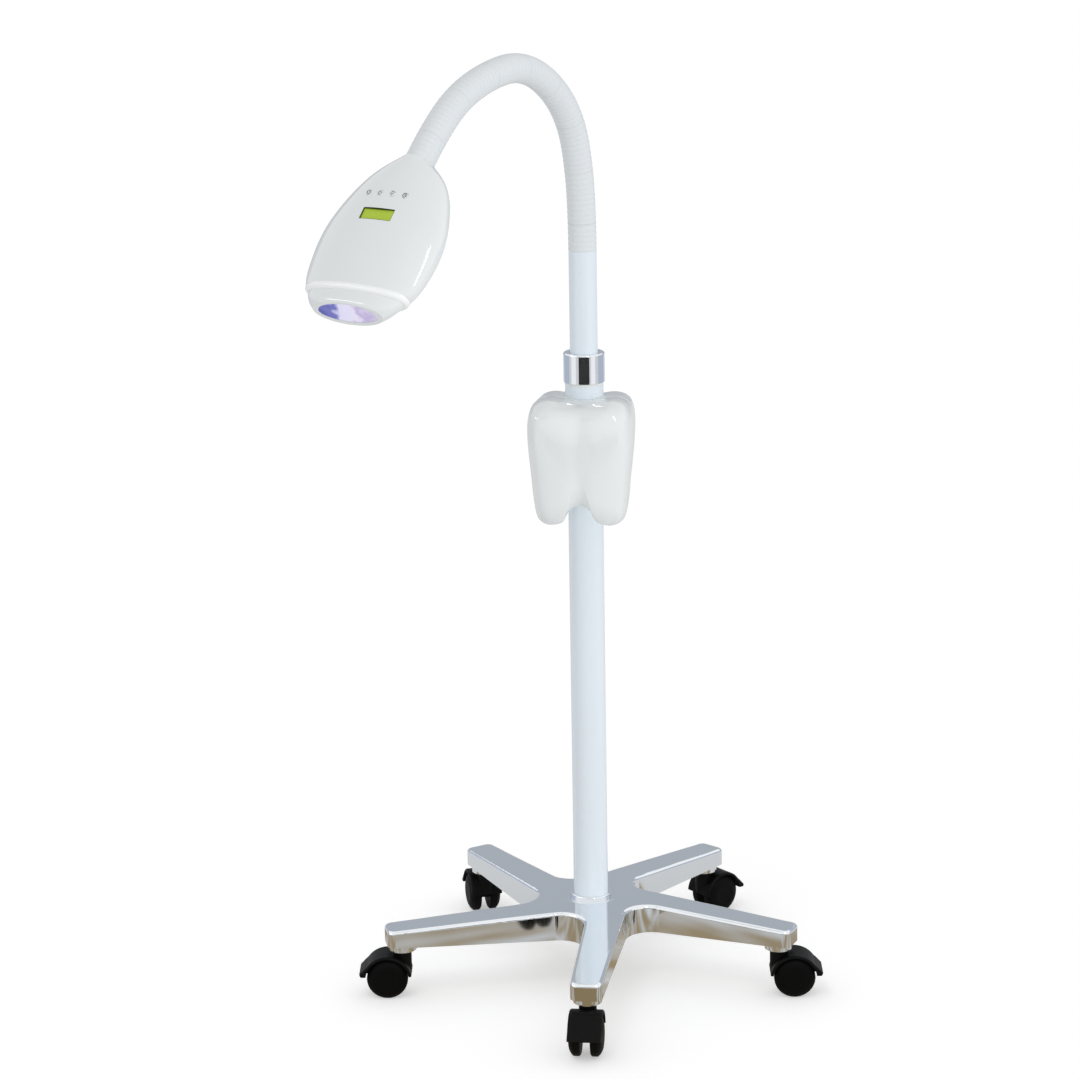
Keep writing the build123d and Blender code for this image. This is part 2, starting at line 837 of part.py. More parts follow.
def nozzle_form(inset, end_inset):
    """Root inside the shells, shoulder at their lip, and the tilted end."""
    with BuildPart() as form:
        with BuildSketch(head_plane(head_lip - nozzle_overlap)):
            egg_section(
                lip_half_width - lip_inset + nozzle_root_flare - inset,
                lip_top - lip_inset + nozzle_root_rise - inset,
                lip_bottom - lip_inset + nozzle_root_drop - inset,
            )
        with BuildSketch(head_plane(head_lip)):
            egg_section(
                lip_half_width - lip_inset - inset,
                lip_top - lip_inset - inset,
                lip_bottom - lip_inset - inset,
            )
        loft(ruled=True)
        with BuildSketch(head_plane(head_lip)):
            egg_section(
                lip_half_width - lip_inset - inset,
                lip_top - lip_inset - inset,
                lip_bottom - lip_inset - inset,
            )
        with BuildSketch(head_plane(nozzle_middle)):
            egg_section(
                nozzle_middle_size[0] - inset,
                nozzle_middle_size[1] - inset,
                nozzle_middle_size[2] - inset,
            )
        with BuildSketch(end_plane.offset(-end_inset)):
            egg_section(
                nozzle_half_width - inset, nozzle_half_height - inset, nozzle_half_height - inset
            )
        loft()
    return form.part


nozzle_outer = nozzle_form(0, 0)

with BuildPart() as mouth_nozzle:
    add(nozzle_outer)
    add(nozzle_form(head_wall, nozzle_end_wall), mode=Mode.SUBTRACT)
    for hand in (-1, 1):
        with BuildSketch(head_plane(sink_start)):
            with Locations((hand * (sink_width / 2 + shelf_width / 2 + display_fit), sink_y)):
                Rectangle(shelf_width, shelf_height)
        extrude(amount=sink_base)
    add(nozzle_outer, mode=Mode.INTERSECT)
    with BuildSketch(end_plane):
        egg_section(
            window_half_width + display_fit, window_top + display_fit, window_bottom + display_fit
        )
    extrude(amount=-(window_thick + window_sink), mode=Mode.SUBTRACT)
    with BuildSketch(end_plane):
        egg_section(
            window_half_width - window_ledge,
            window_top - window_ledge,
            window_bottom - window_ledge,
        )
    extrude(amount=-2 * nozzle_end_wall, mode=Mode.SUBTRACT)
finish(mouth_nozzle.part, "mouth_nozzle")

with BuildPart() as lens_window:
    with BuildSketch(end_plane.offset(-window_sink)):
        egg_section(window_half_width, window_top, window_bottom)
    extrude(amount=-window_thick)
finish(lens_window.part, "lens_window")

# Light engine
with BuildPart() as heat_sink:
    with BuildSketch(head_plane(sink_start)):
        with Locations((0, sink_y)):
            Rectangle(sink_width, sink_height)
    extrude(amount=sink_base)
    with BuildSketch(head_plane(sink_start)):
        with Locations((0, sink_y)):
            with GridLocations(fin_pitch, 0, fin_count, 1):
                Rectangle(fin_thick, sink_height)
    extrude(amount=-fin_depth)
finish(heat_sink.part, "heat_sink")

led_board_s = sink_start + sink_base

with BuildPart() as led_board:
    with BuildSketch(head_plane(led_board_s)):
        with Locations((0, sink_y)):
            RectangleRounded(sink_width, sink_height, 2)
    extrude(amount=board_thick)
    with BuildSketch(head_plane(led_board_s + board_thick)):
        with Locations((0, sink_y)):
            with GridLocations(led_pitch_x, led_pitch_y, led_columns, led_rows):
                Circle(led_dia / 2)
    extrude(amount=led_height)
    led_tops = led_board.faces().sort_by(Axis(neck_point, head_axis))[-led_columns * led_rows :]
    chamfer(led_tops.edges(), 1)
finish(led_board.part, "led_board")

# Display, buttons and their board
with BuildPart() as control_board:
    with BuildSketch(head_spot(board_middle, 0, board_low_y)):
        RectangleRounded(board_width, board_end - board_start, 2)
    extrude(amount=board_thick)
    for x in button_places:
        with BuildSketch(head_spot(button_s, x, board_top_y)):
            Rectangle(switch_size, switch_size)
        extrude(
            amount=button_height(x) + button_proud - button_length - button_travel - 0.2
            - board_top_y
        )
finish(control_board.part, "control_board")

with BuildPart() as lcd_module:
    with BuildSketch(head_spot(display_s, 0, board_top_y)):
        Rectangle(display_width + module_margin, display_height + module_margin)
    extrude(amount=module_height)
finish(lcd_module.part, "lcd_module")

with BuildPart() as lcd_lens:
    with BuildSketch(head_spot(display_s, 0, lens_low_y)):
        RectangleRounded(display_width - 2 * display_fit, display_height - 2 * display_fit, 0.8)
    extrude(amount=lens_thick)
finish(lcd_lens.part, "lcd_lens")

for n, x in enumerate(button_places):
    top_y = button_height(x) + button_proud
    with BuildPart() as button:
        with BuildSketch(head_spot(button_s, x, top_y - button_length)):
            Circle(button_dia / 2)
        extrude(amount=button_length)
        fillet(button.edges().sort_by(Axis(neck_point, panel_axis))[-1], 0.6)
    finish(button.part, f"button_{n + 1}")

# Fan
with BuildPart() as fan_frame:
    with BuildSketch(head_spot(fan_s, 0, fan_low_y)):
        RectangleRounded(fan_size, fan_size, 3)
        Circle(fan_bore_dia / 2, mode=Mode.SUBTRACT)
    extrude(amount=fan_thick)
    with BuildSketch(head_spot(fan_s, 0, fan_low_y)):
        Circle(fan_hub_dia / 2)
        with PolarLocations(fan_bore_dia / 4, 3):
            Rectangle(fan_bore_dia / 2 + 1, 2)
    extrude(amount=fan_spoke)
    with BuildSketch(head_spot(fan_s, 0, fan_low_y + fan_spoke)):
        Circle(fan_pin_dia / 2)
    extrude(amount=fan_thick - fan_spoke - 2)
finish(fan_frame.part, "fan_frame")

with BuildPart() as fan_rotor:
    rotor_low = fan_low_y + fan_spoke + display_fit
    with BuildSketch(head_spot(fan_s, 0, rotor_low)):
        Circle(fan_hub_dia / 2)
        Circle(fan_pin_dia / 2 + running_clearance, mode=Mode.SUBTRACT)
    extrude(amount=fan_thick - fan_spoke - 1)
    middle = head_spot(fan_s, 0, rotor_low + (fan_thick - fan_spoke - 1) / 2)
    for n in range(fan_blades):
        turn = 2 * pi * n / fan_blades
        outward = middle.x_dir * cos(turn) + middle.y_dir * sin(turn)
        root = middle.origin + outward * (fan_hub_dia / 2 - 1)
        with BuildSketch(Plane(origin=root, x_dir=outward.cross(middle.z_dir), z_dir=outward)):
            Rectangle(fan_blade_width, 1, rotation=fan_blade_pitch)
        extrude(amount=fan_bore_dia / 2 - fan_hub_dia / 2 + 0.4)
finish(fan_rotor.part, "fan_rotor")

with BuildPart() as neck_clamp:
    with BuildSketch(head_plane(clamp_s)):
        Circle(spigot_dia / 2 + clamp_wall)
        with Locations((0, 0)):
            Rectangle(spigot_dia + 2 * clamp_ear, clamp_ear)
        Circle(spigot_dia / 2 + running_clearance, mode=Mode.SUBTRACT)
        with Locations((spigot_dia / 2 + clamp_ear * 0.6, 0), (-spigot_dia / 2 - clamp_ear * 0.6, 0)):
            Circle(head_screw_dia / 2, mode=Mode.SUBTRACT)
    extrude(amount=spigot_length - clamp_s)
finish(neck_clamp.part, "neck_clamp")


# Molar-shaped housing: the same outline, scaled along its depth
def molar_outline(scale):
    """Closed outline with two cusps above and two roots below, seen from the front."""
    left = [(-x, z) for x, z in reversed(molar_half[1:-1])]
    points = [
        (x * scale, molar_middle_z + (z - molar_middle_z) * scale) for x, z in molar_half + left
    ]
    with BuildLine() as outline:
        Spline(*points, periodic=True)
    make_face(outline.edges())


def molar_form(stations, inset):
    """Loft from the parting plane through the given depths, inset by a wall."""
    with BuildPart() as form:
        for depth, scale in stations:
            away = 1 if depth > molar_parting else -1
            shift = 0 if depth == molar_parting else away * inset
            with BuildSketch(Plane.XZ.offset(depth - shift)):
                molar_outline(scale * (1 - inset / molar_half_width))
        loft()
    return form.part


def housing_spot(x, z, depth):
    """Plane that faces the front, at a depth in front of the column's axis."""
    return Plane(origin=(x, -depth, z), x_dir=(1, 0, 0), z_dir=(0, -1, 0))


with BuildPart() as column_passage:
    with BuildSketch(Plane.XY.offset(molar_middle_z - 100)):
        Circle(column_dia / 2 + passage_gap)
    extrude(amount=200)
    with BuildSketch(Plane.XY.offset(sleeve_low_z - 2)):
        Circle(sleeve_dia / 2 + passage_gap)
    extrude(amount=100)

front_form = molar_form(molar_front, 0)
rear_form = molar_form(molar_rear, 0)
plate_front = molar_parting + plate_thick

with BuildPart() as tooth_front_shell:
    add(front_form)
    add(molar_form(molar_front, housing_wall), mode=Mode.SUBTRACT)
    for x, z in housing_screw_spots:
        with BuildSketch(housing_spot(x, z, plate_front)):
            Circle(screw_post_dia / 2)
        extrude(amount=3 * plate_front)
    add(front_form, mode=Mode.INTERSECT)
    for x, z in housing_screw_spots:
        with BuildSketch(housing_spot(x, z, plate_front)):
            Circle(head_screw_dia / 2 + running_clearance)
        extrude(amount=screw_grip + 1, mode=Mode.SUBTRACT)
finish(tooth_front_shell.part, "tooth_front_shell")

rear_face = -molar_rear[-1][0]

with BuildPart() as tooth_rear_shell:
    add(rear_form)
    add(molar_form(molar_rear, housing_wall), mode=Mode.SUBTRACT)
    for x, z in housing_screw_spots:
        with BuildSketch(housing_spot(x, z, molar_parting)):
            Circle(screw_post_dia / 2)
        extrude(amount=-(molar_parting + rear_face))
    add(rear_form, mode=Mode.INTERSECT)
    add(column_passage.part, mode=Mode.SUBTRACT)
    for x, z in housing_screw_spots:
        with BuildSketch(housing_spot(x, z, molar_parting)):
            Circle(head_screw_dia / 2 + running_clearance)
        extrude(amount=-2 * molar_parting - rear_face, mode=Mode.SUBTRACT)
        with BuildSketch(housing_spot(x, z, -rear_face + housing_screw_sink)):
            Circle(head_screw_head / 2 + display_fit)
        extrude(amount=-2 * housing_screw_sink, mode=Mode.SUBTRACT)
    with BuildSketch(housing_spot(inlet_x, panel_z, -rear_face + 2 * housing_wall)):
        Rectangle(inlet_width + 2 * display_fit, inlet_height + 2 * display_fit)
    extrude(amount=-4 * housing_wall, mode=Mode.SUBTRACT)
    with BuildSketch(housing_spot(switch_x, panel_z, -rear_face + 2 * housing_wall)):
        Rectangle(switch_width + 2 * display_fit, switch_tall + 2 * display_fit)
    extrude(amount=-4 * housing_wall, mode=Mode.SUBTRACT)
finish(tooth_rear_shell.part, "tooth_rear_shell")

# Bracket that clamps the housing to the column
plate_low_z = housing_screw_spots[0][1] - screw_post_dia * 0.6
plate_top_z = housing_screw_spots[-1][1] + screw_post_dia

with BuildPart() as tooth_bracket:
    with BuildSketch(housing_spot(0, (plate_low_z + plate_top_z) / 2, molar_parting)):
        RectangleRounded(plate_width, plate_top_z - plate_low_z, 4)
        with Locations(*[(x, z - (plate_low_z + plate_top_z) / 2) for x, z in housing_screw_spots]):
            Circle(head_screw_dia / 2 + running_clearance, mode=Mode.SUBTRACT)
    extrude(amount=plate_thick)
    with BuildSketch(Plane.XY.offset(clamp_low_z)):
        with Locations((0, -(molar_parting + clamp_split) / 2)):
            Rectangle(clamp_width, molar_parting - clamp_split)
        Circle(column_dia / 2 + running_clearance, mode=Mode.SUBTRACT)
    extrude(amount=clamp_height)
    for x, z in supply_spots:
        with BuildSketch(housing_spot(x, z, plate_front)):
            Circle(post_dia / 2)
        extrude(amount=supply_standoff)
    for x in (-clamp_bolt_x, clamp_bolt_x):
        with BuildSketch(housing_spot(x, clamp_low_z + clamp_height / 2, 0)):
            Circle(clamp_bolt_dia / 2 + running_clearance)
        extrude(amount=molar_parting - 4, mode=Mode.SUBTRACT)
finish(tooth_bracket.part, "tooth_bracket")

with BuildPart() as clamp_strap:
    with BuildSketch(Plane.XY.offset(clamp_low_z)):
        Circle(column_dia / 2 + strap_thick)
        with Locations((0, clamp_split + strap_thick / 2)):
            Rectangle(clamp_width, strap_thick)
        Circle(column_dia / 2 + running_clearance, mode=Mode.SUBTRACT)
        with Locations((0, clamp_split - column_dia)):
            Rectangle(3 * column_dia, 2 * column_dia, mode=Mode.SUBTRACT)
    extrude(amount=clamp_height)
    for x in (-clamp_bolt_x, clamp_bolt_x):
        with BuildSketch(housing_spot(x, clamp_low_z + clamp_height / 2, 0)):
            Circle(clamp_bolt_dia / 2 + running_clearance)
        extrude(amount=-molar_parting, mode=Mode.SUBTRACT)
finish(clamp_strap.part, "clamp_strap")

with BuildPart() as housing_screws:
    for x, z in housing_screw_spots:
        seat = housing_spot(x, z, -rear_face + housing_screw_sink)
        with BuildSketch(seat):
            Circle(head_screw_head / 2)
        extrude(amount=-head_screw_dia * 0.8)
        with BuildSketch(seat):
            Circle(head_screw_dia / 2)
        extrude(amount=rear_face - housing_screw_sink + plate_front + screw_grip)
    for x in (-clamp_bolt_x, clamp_bolt_x):
        seat = housing_spot(x, clamp_low_z + clamp_height / 2, -clamp_split - strap_thick)
        with BuildSketch(seat):
            Circle(clamp_bolt_dia)
        extrude(amount=-clamp_bolt_dia)
        with BuildSketch(seat):
            Circle(clamp_bolt_dia / 2)
        extrude(amount=strap_thick + clamp_split + molar_parting - 6)
finish(housing_screws.part, "housing_screws")

supply_front = plate_front + supply_standoff
supply_z = (supply_spots[0][1] + supply_spots[-1][1]) / 2

with BuildPart() as power_board:
    with BuildSketch(housing_spot(0, supply_z, supply_front)):
        RectangleRounded(supply_width, supply_height, 2)
    extrude(amount=board_thick)
    with BuildSketch(housing_spot(-12, supply_z + 12, supply_front + board_thick)):
        Rectangle(32, 34)
    extrude(amount=24)
    with BuildSketch(housing_spot(20, supply_z + 22, supply_front + board_thick)):
        with GridLocations(0, 18, 1, 2):
            Circle(7)
    extrude(amount=22)
    with BuildSketch(housing_spot(14, supply_z - 22, supply_front + board_thick)):
        Rectangle(26, 5)
        with Locations((-36, 0)):
            Rectangle(14, 16)
    extrude(amount=14)
finish(power_board.part, "power_board")

with BuildPart() as power_inlet:
    panel = housing_spot(inlet_x, panel_z, -rear_face)
    with BuildSketch(panel):
        RectangleRounded(inlet_width + 4, inlet_height + 4, 2)
    extrude(amount=-inlet_flange)
    with BuildSketch(panel):
        Rectangle(inlet_width, inlet_height)
    extrude(amount=inlet_depth)
    with BuildSketch(housing_spot(inlet_x, panel_z, -rear_face - inlet_flange)):
        RectangleRounded(inlet_width - 4, inlet_height - 5, 3)
    extrude(amount=socket_depth, mode=Mode.SUBTRACT)
    with BuildSketch(housing_spot(inlet_x, panel_z, -rear_face - inlet_flange + socket_depth)):
        with Locations((2, 7), (2, -7), (-3, 0)):
            Rectangle(4, 2)
    extrude(amount=-(socket_depth - socket_clear))
finish(power_inlet.part, "power_inlet")

rocker_pivot = Vector(switch_x, rear_face + rocker_pivot_out, panel_z)

with BuildPart() as switch_frame:
    panel = housing_spot(switch_x, panel_z, -rear_face)
    with BuildSketch(panel):
        RectangleRounded(switch_width + 4, switch_tall + 4, 1.5)
    extrude(amount=-inlet_flange)
    with BuildSketch(panel):
        Rectangle(switch_width, switch_tall)
    extrude(amount=switch_depth)
    with BuildSketch(housing_spot(switch_x, panel_z, -rear_face - inlet_flange)):
        Rectangle(rocker_width + 2 * display_fit, rocker_tall + 2 * rocker_gap)
    extrude(amount=switch_depth, mode=Mode.SUBTRACT)
    with BuildSketch(Plane(origin=rocker_pivot, x_dir=(0, 1, 0), z_dir=(1, 0, 0))):
        Circle(rocker_pin_dia / 2 + running_clearance)
    extrude(amount=rocker_width / 2 + rocker_pin_length + display_fit, both=True, mode=Mode.SUBTRACT)
finish(switch_frame.part, "switch_frame")

rocker_tilt = radians(rocker_half_angle)
rocker_plane = Plane(
    origin=rocker_pivot, x_dir=(0, cos(rocker_tilt), sin(rocker_tilt)), z_dir=(1, 0, 0)
)

with BuildPart() as power_rocker:
    with BuildSketch(rocker_plane):
        with BuildLine():
            Polyline(
                (rocker_rise, rocker_tall / 2 - 0.8),
                (-rocker_sink, rocker_tall / 2 - 2.6),
                (-rocker_sink, -rocker_tall / 2 + 2.6),
                (rocker_rise, -rocker_tall / 2 + 0.8),
            )
            ThreePointArc(
                (rocker_rise, -rocker_tall / 2 + 0.8),
                (rocker_rise - 1.6, 0),
                (rocker_rise, rocker_tall / 2 - 0.8),
            )
        make_face()
    extrude(amount=rocker_width / 2, both=True)
    with BuildSketch(rocker_plane):
        Circle(rocker_pin_dia / 2)
    extrude(amount=rocker_width / 2 + rocker_pin_length, both=True)
finish(power_rocker.part, "power_rocker")
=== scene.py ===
import json
import math

import bpy
import numpy as np
from mathutils import Matrix, Vector


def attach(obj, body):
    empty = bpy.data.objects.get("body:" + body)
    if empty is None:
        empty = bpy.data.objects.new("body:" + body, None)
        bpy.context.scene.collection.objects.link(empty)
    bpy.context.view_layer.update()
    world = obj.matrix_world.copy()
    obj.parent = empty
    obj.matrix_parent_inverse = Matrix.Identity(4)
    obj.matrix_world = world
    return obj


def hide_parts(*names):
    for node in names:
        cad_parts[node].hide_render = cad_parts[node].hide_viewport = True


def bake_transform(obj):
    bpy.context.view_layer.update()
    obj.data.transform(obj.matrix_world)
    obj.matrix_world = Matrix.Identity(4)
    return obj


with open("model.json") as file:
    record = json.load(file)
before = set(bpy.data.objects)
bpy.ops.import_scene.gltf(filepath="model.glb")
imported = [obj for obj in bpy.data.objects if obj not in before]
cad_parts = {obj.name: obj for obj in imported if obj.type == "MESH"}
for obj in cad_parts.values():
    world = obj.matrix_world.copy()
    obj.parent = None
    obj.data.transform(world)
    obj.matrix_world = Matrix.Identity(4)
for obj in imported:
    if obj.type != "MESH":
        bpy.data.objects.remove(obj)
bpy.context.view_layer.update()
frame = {"nodes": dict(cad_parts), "record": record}

# Teeth whitening lamp on a castor stand: its finishes, soft skin and studio. Shapes are in
# millimetres and turned into metres where a mesh is made.
MM = 0.001

# Camera at the photograph's viewing angle
CAMERA_AT = Vector((0.3919, -3.7920, 1.5590))
CAMERA_YAW = math.radians(-6.734)
CAMERA_PITCH = math.radians(14.795)
CAMERA_ROLL = math.radians(-0.974)
CAMERA_LENS = 109.75
CAMERA_SENSOR = 36.0

# Gooseneck, repeated from the model's driving sizes, in millimetres and degrees
ARM_HEADING = math.radians(27.9)
LINK_TURNS = (4, 11, 28, 23, 29, 13, 20, 9)
LINK_LENGTH = 62.5
GOOSENECK_LOW_Z = 904.0
LINK_GAP = 2.8

LATERAL = Vector((math.cos(ARM_HEADING), -math.sin(ARM_HEADING), 0))
REACH = Vector((-math.sin(ARM_HEADING), -math.cos(ARM_HEADING), 0))
UP = Vector((0, 0, 1))


def node_tree(material):
    """A material's cleared node tree, with its output node."""
    material.use_nodes = True
    tree = material.node_tree
    tree.nodes.clear()
    output = tree.nodes.new("ShaderNodeOutputMaterial")
    return tree, output


# Unevenness of the surfaces, in features per metre
CLOUD_SCALE = 14.0
CLOUD_DETAIL = 3.0
FINE_SCALE = 90.0
FINE_DETAIL = 4.0
GRAIN_DETAIL = 2.0
GRAIN_STRENGTH = 0.35
COAT_ROUGHNESS = 0.06


def add_noise(tree, scale, detail, stretch=(1, 1, 1)):
    """A 0 to 1 value from noise over the object's own coordinates, in metres."""
    place = tree.nodes.new("ShaderNodeTexCoord")
    mapping = tree.nodes.new("ShaderNodeMapping")
    mapping.inputs["Scale"].default_value = stretch
    noise = tree.nodes.new("ShaderNodeTexNoise")
    noise.inputs["Scale"].default_value = scale
    noise.inputs["Detail"].default_value = detail
    tree.links.new(place.outputs["Object"], mapping.inputs["Vector"])
    tree.links.new(mapping.outputs["Vector"], noise.inputs["Vector"])
    return noise.outputs["Fac"]


def spread(tree, source, low, high):
    """Maps a 0 to 1 value onto a range."""
    node = tree.nodes.new("ShaderNodeMapRange")
    node.inputs["To Min"].default_value = low
    node.inputs["To Max"].default_value = high
    tree.links.new(source, node.inputs["Value"])
    return node.outputs["Result"]


def mix_colours(tree, factor, first, second):
    """A colour between two, by a 0 to 1 value."""
    mix = tree.nodes.new("ShaderNodeMix")
    mix.data_type = "RGBA"
    mix.inputs["A"].default_value = (*first, 1)
    mix.inputs["B"].default_value = (*second, 1)
    tree.links.new(factor, mix.inputs["Factor"])
    return mix.outputs["Result"]


def ray_level(tree, kinds, low, high):
    """The high level for the named kinds of ray, and the low one for all others."""
    path = tree.nodes.new("ShaderNodeLightPath")
    among = path.outputs[kinds[0]]
    for kind in kinds[1:]:
        either = tree.nodes.new("ShaderNodeMath")
        either.operation = "MAXIMUM"
        tree.links.new(among, either.inputs[0])
        tree.links.new(path.outputs[kind], either.inputs[1])
        among = either.outputs["Value"]
    return spread(tree, among, low, high)


def surface(
    name,
    colour,
    roughness,
    metallic=0.0,
    variation=0.03,
    rough_spread=0.04,
    grain=600.0,
    grain_depth=0.00001,
    coat=0.0,
    stretch=(1, 1, 1),
    specular=0.5,
):
    """Moulded, painted or plated surface with uneven colour, roughness and a fine grain."""
    material = bpy.data.materials.new(name)
    tree, output = node_tree(material)
    shader = tree.nodes.new("ShaderNodeBsdfPrincipled")
    shader.inputs["Metallic"].default_value = metallic
    shader.inputs["Coat Weight"].default_value = coat
    shader.inputs["Coat Roughness"].default_value = COAT_ROUGHNESS
    shader.inputs["Specular IOR Level"].default_value = specular
    cloud = add_noise(tree, CLOUD_SCALE, CLOUD_DETAIL, stretch)
    low = [c * (1 - variation) for c in colour]
    high = [min(1.0, c * (1 + variation)) for c in colour]
    tree.links.new(mix_colours(tree, cloud, low, high), shader.inputs["Base Color"])
    fine = add_noise(tree, FINE_SCALE, FINE_DETAIL, stretch)
    rough = spread(tree, fine, roughness - rough_spread, roughness + rough_spread)
    tree.links.new(rough, shader.inputs["Roughness"])
    bump = tree.nodes.new("ShaderNodeBump")
    bump.inputs["Strength"].default_value = GRAIN_STRENGTH
    bump.inputs["Distance"].default_value = grain_depth
    tree.links.new(add_noise(tree, grain, GRAIN_DETAIL, stretch), bump.inputs["Height"])
    tree.links.new(bump.outputs["Normal"], shader.inputs["Normal"])
    tree.links.new(shader.outputs["BSDF"], output.inputs["Surface"])
    return material


# Lamp's lens: its glow, its patches, and its colours from the lamp's left to its right
LENS_GLOW = 0.16
LENS_ROUGHNESS = 0.08
LENS_PATCH_SCALE = 85.0
LENS_PATCH_DETAIL = 1.5
LENS_PATCH_SHIFT = 0.28
LENS_COLOURS = (
    (0.0, (0.05, 0.06, 0.38)),
    (0.2, (0.13, 0.14, 0.52)),
    (0.38, (0.74, 0.72, 0.96)),
    (0.62, (0.80, 0.77, 0.95)),
    (0.76, (0.52, 0.43, 0.72)),
    (1.0, (0.78, 0.76, 0.92)),
)


def lens_surface(name, window):
    """Clear lens over the lamp's diodes: deep blue at one end, pale lilac with violet patches."""
    material = bpy.data.materials.new(name)
    tree, output = node_tree(material)
    shader = tree.nodes.new("ShaderNodeBsdfPrincipled")
    shader.inputs["Roughness"].default_value = LENS_ROUGHNESS
    shader.inputs["Coat Weight"].default_value = 1.0
    reaches = [corner.co.dot(LATERAL) for corner in window.data.vertices]
    place = tree.nodes.new("ShaderNodeTexCoord")
    along = tree.nodes.new("ShaderNodeVectorMath")
    along.operation = "DOT_PRODUCT"
    along.inputs[1].default_value = LATERAL
    tree.links.new(place.outputs["Object"], along.inputs[0])
    fraction = tree.nodes.new("ShaderNodeMapRange")
    fraction.inputs["From Min"].default_value = min(reaches)
    fraction.inputs["From Max"].default_value = max(reaches)
    tree.links.new(along.outputs["Value"], fraction.inputs["Value"])
    patches = add_noise(tree, LENS_PATCH_SCALE, LENS_PATCH_DETAIL)
    total = tree.nodes.new("ShaderNodeMath")
    tree.links.new(fraction.outputs["Result"], total.inputs[0])
    tree.links.new(spread(tree, patches, -LENS_PATCH_SHIFT, LENS_PATCH_SHIFT), total.inputs[1])
    ramp = tree.nodes.new("ShaderNodeValToRGB")
    stops = ramp.color_ramp.elements
    stops.remove(stops[-1])
    stops[0].color = (*LENS_COLOURS[0][1], 1)
    for position, colour in LENS_COLOURS[1:]:
        stops.new(position).color = (*colour, 1)
    tree.links.new(total.outputs["Value"], ramp.inputs["Fac"])
    tree.links.new(ramp.outputs["Color"], shader.inputs["Base Color"])
    tree.links.new(ramp.outputs["Color"], shader.inputs["Emission Color"])
    shader.inputs["Emission Strength"].default_value = LENS_GLOW
    tree.links.new(shader.outputs["BSDF"], output.inputs["Surface"])
    return material


# One material for each slot of the record, and three for small pieces of this script
MATERIALS = {
    "chrome": surface("chrome", (0.84, 0.87, 0.90), 0.07, metallic=1.0, variation=0.015,
                      rough_spread=0.02, grain=300.0, grain_depth=0.000006),
    "white_shell": surface("white_shell", (0.78, 0.81, 0.815), 0.14, coat=0.6, variation=0.006,
                           rough_spread=0.02),
    # Paler white for the lip's bead: a painted highlight, brighter than the shell it belongs to
    "lip_painted_highlight": surface("lip_painted_highlight", (0.93, 0.95, 0.955), 0.14, coat=0.6, variation=0.006,
                         rough_spread=0.02),
    "white_paint": surface("white_paint", (0.74, 0.81, 0.87), 0.25, coat=0.4, variation=0.006,
                           rough_spread=0.02),
    "gooseneck_white": surface("gooseneck_white", (0.71, 0.745, 0.77), 0.42, variation=0.01),
    "castor_black": surface("castor_black", (0.004, 0.004, 0.004), 0.42, variation=0.2,
                            grain=500.0, grain_depth=0.00003, specular=0.08),
    "wheel_black": surface("wheel_black", (0.003, 0.003, 0.003), 0.5, variation=0.2,
                           grain=700.0, grain_depth=0.00003, specular=0.06),
    "steel": surface("steel", (0.55, 0.56, 0.58), 0.3, metallic=1.0, stretch=(1, 1, 12)),
    "bearing_white": surface("bearing_white", (0.78, 0.78, 0.76), 0.5),
    "lcd_body": surface("lcd_body", (0.42, 0.55, 0.07), 0.5, variation=0.04),
    "board_green": surface("board_green", (0.02, 0.16, 0.07), 0.4, variation=0.15),
    "sink_aluminium": surface("sink_aluminium", (0.7, 0.71, 0.72), 0.35, metallic=1.0),
    "black_plastic": surface("black_plastic", (0.012, 0.012, 0.013), 0.35, variation=0.15,
                             grain=400.0, grain_depth=0.00004, specular=0.3),
    "button_grey": surface("button_grey", (0.72, 0.74, 0.75), 0.3, variation=0.01),
    "window_violet": lens_surface("window_violet", frame["nodes"]["lens_window"]),
    "lcd_green": surface("lcd_green", (0.45, 0.62, 0.05), 0.2, variation=0.05, specular=0.25),
    "mark_grey": surface("mark_grey", (0.10, 0.11, 0.12), 0.5),
    # Near black green for the wall in the display's recess: painted shade
    "recess_painted_shade": surface("recess_painted_shade", (0.03, 0.045, 0.012), 0.6, specular=0.2),
}

slot_of_node = {s["node"]: s["material_slot"] for s in frame["record"]["subparts"]}
for node_name, node_object in frame["nodes"].items():
    node_object.data.materials.clear()
    node_object.data.materials.append(MATERIALS[slot_of_node[node_name]])


# Gooseneck skin: one ribbed sleeve across each joint
SLEEVE_RADIUS = 16.75
SLEEVE_BORE = 15.3
RIB_PITCH = 6.25
RIB_DEPTH = 0.55
RIB_SHARPNESS = 0.45
RIB_STEPS = 8
SLEEVE_SIDES = 56


def arch_direction(angle):
    """Direction in the arch's plane, at an angle in degrees from straight up."""
    return REACH * math.sin(math.radians(angle)) + UP * math.cos(math.radians(angle))


def arc_station(start, angle, turn, s):
    """Point and angle at s along a link that turns evenly."""
    part_turn = turn * s / LINK_LENGTH
    chord = 2 * LINK_LENGTH / math.radians(turn) * math.sin(math.radians(part_turn / 2))
    return start + arch_direction(angle + part_turn / 2) * chord, angle + part_turn


pivots = [(Vector((0, 0, GOOSENECK_LOW_Z)), 0.0)]
for turn in LINK_TURNS:
    pivots.append(arc_station(*pivots[-1], turn, LINK_LENGTH))
neck_point, neck_angle = pivots[-1]


def along_gooseneck(s):
    """Point and angle at a distance from the arm tube's end, over all the links."""
    if s < 0:
        return pivots[0][0] + UP * s, 0.0
    n = min(int(s / LINK_LENGTH), len(LINK_TURNS) - 1)
    return arc_station(*pivots[n], LINK_TURNS[n], s - n * LINK_LENGTH)


def rib_radius(s):
    """Rounded ribs with narrow grooves between them."""
    wave = 0.5 + 0.5 * math.cos(2 * math.pi * s / RIB_PITCH)
    return SLEEVE_RADIUS - RIB_DEPTH * (1 - wave ** RIB_SHARPNESS)


